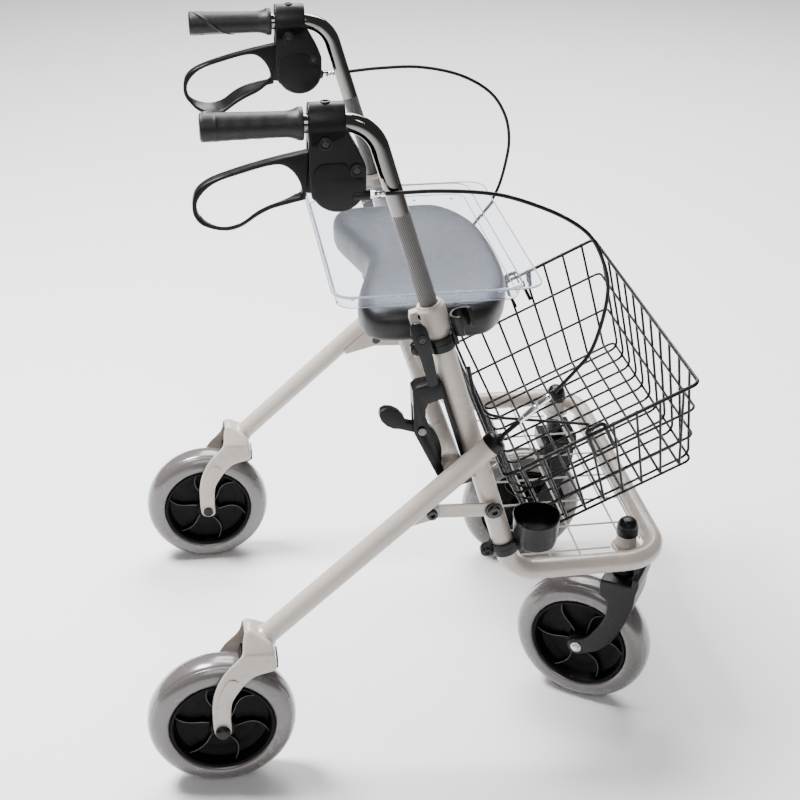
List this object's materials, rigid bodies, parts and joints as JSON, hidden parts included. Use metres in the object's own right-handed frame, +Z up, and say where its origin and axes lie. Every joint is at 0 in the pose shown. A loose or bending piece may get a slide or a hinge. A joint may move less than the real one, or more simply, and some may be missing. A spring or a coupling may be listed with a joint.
{
  "type": "four-wheel rollator walker",
  "caption": "Folding walker with a bent tube frame, swivel front wheels, seat, clear tray, wire basket, cane holder and loop brakes.",
  "frame": {"origin": "on the floor under the middle of the bounding box", "axes": "+X to the front, +Y to the left of the person who walks behind it, +Z up"},
  "size_m": [0.7611, 0.62, 0.931],
  "materials": {
    "frame": "satin powder coat",
    "beige_plastic": "satin",
    "black_plastic": "satin",
    "housing": "fine texture",
    "grey_plastic": "matt",
    "cable": "satin",
    "grip": "leather grain",
    "chrome": "bright",
    "rim": "gloss",
    "tyre": "satin",
    "seat_pad": "fine grain",
    "clear_plastic": "clear",
    "wire": "dipped coat on wire"
  },
  "bodies": {
    "front_frame": {"front_frame_tube": "frame", "seat_crossbar": "frame", "shelf_grid": "frame", "caster_socket_right": "beige_plastic", "caster_socket_left": "beige_plastic", "seat": "seat_pad", "collar_right": "beige_plastic", "collar_left": "beige_plastic", "cane_clip": "black_plastic", "cane_cup": "black_plastic", "fold_guide_right": "black_plastic", "fold_guide_left": "black_plastic", "latch_pin": "grey_plastic", "link_bolt_upper_right": "black_plastic", "link_bolt_upper_left": "black_plastic", "brake_cable_right": "cable", "brake_cable_left": "cable"},
    "cross_slide": {"rear_cross_tube": "frame"},
    "rear_frame": {"rear_leg_right": "frame", "rear_leg_left": "frame", "rear_fork_right": "beige_plastic", "rear_fork_left": "beige_plastic", "leg_plug_right": "black_plastic", "leg_plug_left": "black_plastic", "link_bolt_lower_right": "black_plastic", "link_bolt_lower_left": "black_plastic", "rear_axle_right": "black_plastic", "rear_axle_left": "black_plastic"},
    "rear_wheel_right": {"rear_rim_right": "rim", "rear_tyre_right": "tyre"},
    "rear_wheel_left": {"rear_rim_left": "rim", "rear_tyre_left": "tyre"},
    "shoe_right": {"brake_shoe_right": "black_plastic"},
    "shoe_left": {"brake_shoe_left": "black_plastic"},
    "link_arm_right": {"link_right": "frame"},
    "link_arm_left": {"link_left": "frame"},
    "latch": {"latch_lever": "black_plastic"},
    "handle_right": {"handle_tube_right": "chrome", "grip_right": "grip", "brake_housing_right": "housing"},
    "handle_left": {"handle_tube_left": "chrome", "grip_left": "grip", "brake_housing_left": "housing"},
    "drum_right": {"brake_drum_right": "black_plastic"},
    "drum_left": {"brake_drum_left": "black_plastic"},
    "lever_right": {"brake_lever_right": "black_plastic"},
    "lever_left": {"brake_lever_left": "black_plastic"},
    "clamp_right": {"clamp_lever_right": "black_plastic"},
    "clamp_left": {"clamp_lever_left": "black_plastic"},
    "caster_right": {"caster_fork_right": "black_plastic", "caster_axle_right": "chrome"},
    "caster_left": {"caster_fork_left": "black_plastic", "caster_axle_left": "chrome"},
    "caster_wheel_right": {"caster_rim_right": "rim", "caster_tyre_right": "tyre"},
    "caster_wheel_left": {"caster_rim_left": "rim", "caster_tyre_left": "tyre"},
    "tray_body": {"tray": "clear_plastic"},
    "basket_body": {"basket": "wire"},
    "bail": {"basket_handle": "wire"}
  },
  "joints": [
    {"name": "fold_slide", "type": "slide", "parent": "front_frame", "child": "cross_slide", "axis": [-0.289, 0, 0.9573], "range_m": [0, 0.0652], "deforming": ["brake_cable_right", "brake_cable_left"]},
    {"name": "rear_frame_fold", "type": "hinge", "parent": "cross_slide", "child": "rear_frame", "pos_m": [0.02898, 0, 0.45498], "axis": [0, -1, 0], "range_deg": [0, 64.5]},
    {"name": "link_turn_right", "type": "hinge", "parent": "front_frame", "child": "link_arm_right", "pos_m": [0.08343, -0.2539, 0.38743], "axis": [0, 1, 0], "range_deg": [0, 67.1]},
    {"name": "link_turn_left", "type": "hinge", "parent": "front_frame", "child": "link_arm_left", "pos_m": [0.08343, 0.2539, 0.38743], "axis": [0, 1, 0], "range_deg": [0, 67.1]},
    {"name": "latch_turn", "type": "hinge", "parent": "front_frame", "child": "latch", "pos_m": [-0.01221, -0.2395, 0.51044], "axis": [0, 1, 0], "range_deg": [0, 29.6]},
    {"name": "rear_wheel_roll_right", "type": "hinge", "parent": "rear_frame", "child": "rear_wheel_right", "pos_m": [-0.283, -0.2705, 0.1], "axis": [0, 1, 0], "continuous": true},
    {"name": "rear_wheel_roll_left", "type": "hinge", "parent": "rear_frame", "child": "rear_wheel_left", "pos_m": [-0.283, 0.2705, 0.1], "axis": [0, 1, 0], "continuous": true},
    {"name": "shoe_turn_right", "type": "hinge", "parent": "rear_frame", "child": "shoe_right", "pos_m": [-0.215, -0.2705, 0.2], "axis": [0, 1, 0], "range_deg": [0, 1.5]},
    {"name": "shoe_turn_left", "type": "hinge", "parent": "rear_frame", "child": "shoe_left", "pos_m": [-0.215, 0.2705, 0.2], "axis": [0, 1, 0], "range_deg": [0, 1.5]},
    {"name": "handle_slide_right", "type": "slide", "parent": "front_frame", "child": "handle_right", "axis": [-0.289, 0, 0.9573], "range_m": [-0.115, 0.04], "deforming": ["brake_cable_right"]},
    {"name": "handle_slide_left", "type": "slide", "parent": "front_frame", "child": "handle_left", "axis": [-0.289, 0, 0.9573], "range_m": [-0.115, 0.04], "deforming": ["brake_cable_left"]},
    {"name": "brake_turn_right", "type": "hinge", "parent": "handle_right", "child": "drum_right", "pos_m": [-0.1136, -0.237, 0.8391], "axis": [0, 1, 0], "range_deg": [0, 12], "stiffness_Nm_per_rad": 2, "springref_deg": -8.59},
    {"name": "brake_turn_left", "type": "hinge", "parent": "handle_left", "child": "drum_left", "pos_m": [-0.1136, 0.237, 0.8391], "axis": [0, 1, 0], "range_deg": [0, 12], "stiffness_Nm_per_rad": 2, "springref_deg": -8.59},
    {"name": "parking_turn_right", "type": "hinge", "parent": "drum_right", "child": "lever_right", "pos_m": [-0.1136, -0.237, 0.8391], "axis": [0, -1, 0], "range_deg": [0, 20]},
    {"name": "parking_turn_left", "type": "hinge", "parent": "drum_left", "child": "lever_left", "pos_m": [-0.1136, 0.237, 0.8391], "axis": [0, -1, 0], "range_deg": [0, 20]},
    {"name": "clamp_turn_right", "type": "hinge", "parent": "front_frame", "child": "clamp_right", "pos_m": [-0.01581, -0.237, 0.64173], "axis": [0, 1, 0], "range_deg": [0, 100]},
    {"name": "clamp_turn_left", "type": "hinge", "parent": "front_frame", "child": "clamp_left", "pos_m": [-0.01581, 0.237, 0.64173], "axis": [0, 1, 0], "range_deg": [0, 100]},
    {"name": "caster_swivel_right", "type": "hinge", "parent": "front_frame", "child": "caster_right", "pos_m": [0.289, -0.197, 0.277], "axis": [0, 0, 1], "continuous": true},
    {"name": "caster_swivel_left", "type": "hinge", "parent": "front_frame", "child": "caster_left", "pos_m": [0.289, 0.197, 0.277], "axis": [0, 0, 1], "continuous": true},
    {"name": "caster_roll_right", "type": "hinge", "parent": "caster_right", "child": "caster_wheel_right", "pos_m": [0.24755, -0.16904, 0.1], "axis": [0.5592, 0.829, 0], "continuous": true},
    {"name": "caster_roll_left", "type": "hinge", "parent": "caster_left", "child": "caster_wheel_left", "pos_m": [0.239, 0.197, 0.1], "axis": [0, 1, 0], "continuous": true},
    {"name": "tray_lift", "type": "slide", "parent": "front_frame", "child": "tray_body", "axis": [0, 0, 1], "range_m": [0, 0.15]},
    {"name": "basket_slide", "type": "slide", "parent": "front_frame", "child": "basket_body", "axis": [0.9026, 0, 0.4305], "range_m": [0, 0.15]},
    {"name": "bail_turn", "type": "hinge", "parent": "basket_body", "child": "bail", "pos_m": [0.2095, 0, 0.4935], "axis": [0, 1, 0], "range_deg": [0, 100]}
  ],
  "couplings": [
    {"joint": "rear_frame_fold", "follows": "fold_slide", "rad_per_m": 17.26},
    {"joint": "link_turn_right", "follows": "fold_slide", "rad_per_m": 17.94},
    {"joint": "link_turn_left", "follows": "fold_slide", "rad_per_m": 17.94},
    {"joint": "latch_turn", "follows": "fold_slide", "rad_per_m": 7.9},
    {"joint": "shoe_turn_right", "follows": "brake_turn_right", "ratio": 0.125},
    {"joint": "shoe_turn_left", "follows": "brake_turn_left", "ratio": 0.125}
  ]
}
